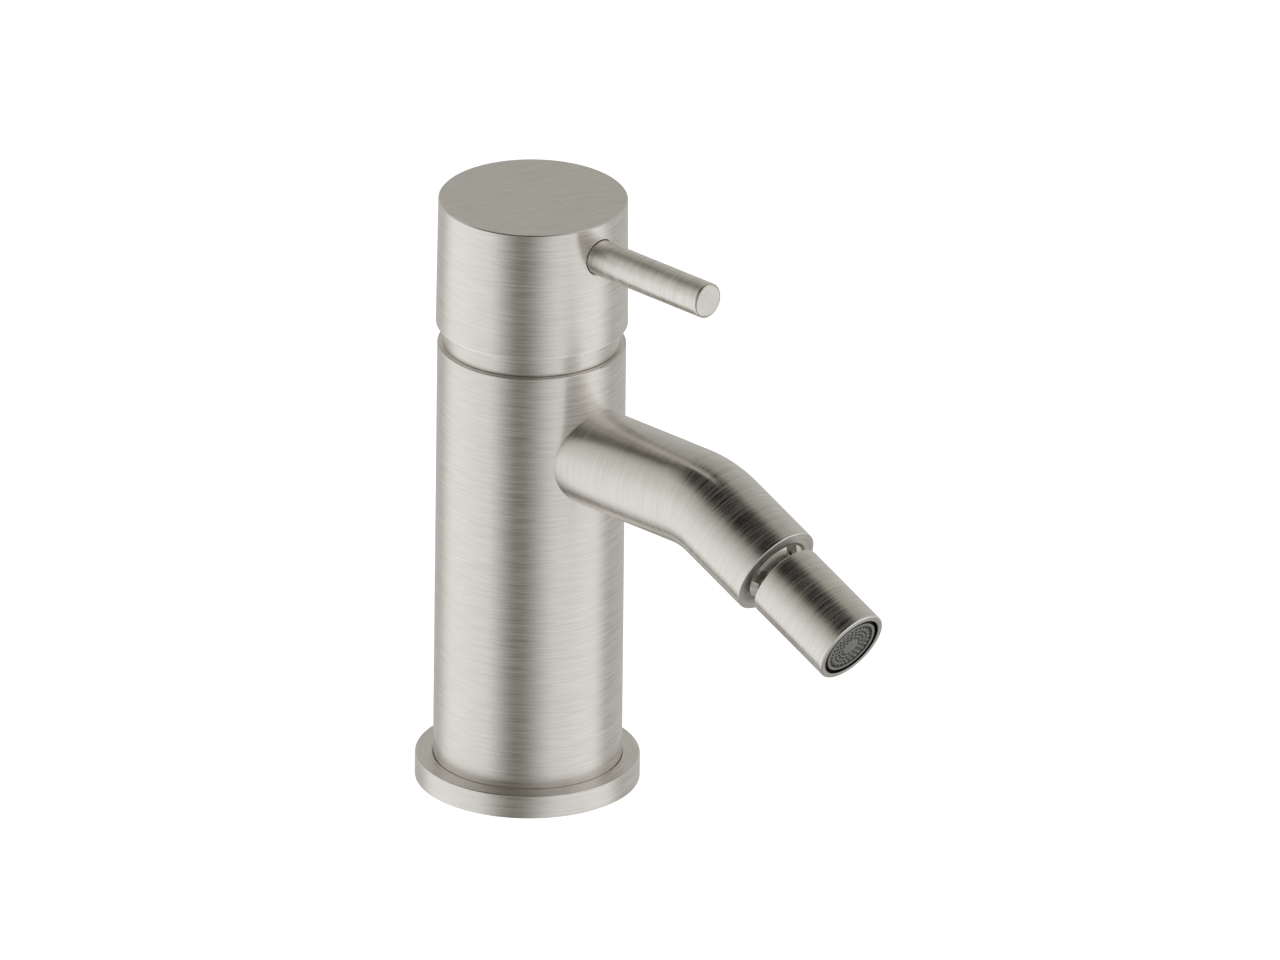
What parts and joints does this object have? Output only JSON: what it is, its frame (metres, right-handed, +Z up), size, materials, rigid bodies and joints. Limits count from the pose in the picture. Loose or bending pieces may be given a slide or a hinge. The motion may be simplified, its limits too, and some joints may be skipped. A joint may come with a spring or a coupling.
{
  "type": "bidet mixer",
  "caption": "Single-lever bidet mixer: brushed nickel column on a deck flange, a bent spout with a swivelling spray nozzle, and a drum handle with a pin lever.",
  "frame": {"origin": "centre of the flange's underside, on the column's axis in the plane of the deck", "axes": "+Z up along the column; -Y is the front, towards which the spout and the pin lever point; +X is the right side seen from the front"},
  "size_m": [0.0536, 0.1378, 0.1499],
  "materials": {
    "brushed_nickel": "brushed nickel, satin",
    "polished_steel": "polished",
    "steel": "turned stainless steel",
    "brass": "turned, bare",
    "ceramic": "lapped",
    "grey_plastic": "moulded",
    "dark_plastic": "moulded",
    "white_seal": "smooth fluoropolymer",
    "rubber": "moulded"
  },
  "bodies": {
    "column": {"flange": "brushed_nickel", "flange_gasket": "rubber", "body": "brushed_nickel", "base_insert": "brass", "spout": "brushed_nickel", "collar": "brushed_nickel", "collar_oring": "rubber", "cartridge_nut": "brass", "cartridge_housing": "dark_plastic", "cartridge_base": "grey_plastic", "base_oring": "rubber", "port_seals": "rubber", "fixed_disc": "ceramic", "retaining_ring": "polished_steel", "front_ball_seal": "white_seal"},
    "carrier": {"carrier": "dark_plastic", "pivot_pin": "steel"},
    "lever": {"handle_cap": "brushed_nickel", "lever_pin": "brushed_nickel", "grub_screw": "steel", "stem": "steel"},
    "disc": {"moving_disc": "ceramic", "slider": "grey_plastic"},
    "seat": {"rear_ball_seat": "white_seal"},
    "nozzle": {"ball_stem": "polished_steel", "nozzle_barrel": "brushed_nickel", "stem_oring": "rubber", "aerator_housing": "grey_plastic", "aerator_insert": "dark_plastic", "aerator_grille": "grey_plastic", "aerator_seal": "rubber"}
  },
  "joints": [
    {"name": "handle_turn", "type": "hinge", "parent": "column", "child": "carrier", "pos_m": [0, 0, 0.1125], "axis": [0, 0, 1], "range_deg": [-50, 50]},
    {"name": "handle_tilt", "type": "hinge", "parent": "carrier", "child": "lever", "pos_m": [0, 0, 0.116], "axis": [-1, 0, 0], "range_deg": [0, 13]},
    {"name": "disc_slide", "type": "slide", "parent": "carrier", "child": "disc", "axis": [0, -1, 0], "range_m": [0, 0.0017]},
    {"name": "nozzle_swivel", "type": "hinge", "parent": "column", "child": "seat", "pos_m": [0, -0.07675, 0.08087], "axis": [0, -0.9063, -0.4226], "continuous": true},
    {"name": "nozzle_tilt", "type": "hinge", "parent": "seat", "child": "nozzle", "pos_m": [0, -0.07675, 0.08087], "axis": [1, 0, 0], "range_deg": [-12, 12]}
  ],
  "couplings": [
    {"joint": "disc_slide", "follows": "handle_tilt", "m_per_rad": 0.0074}
  ]
}
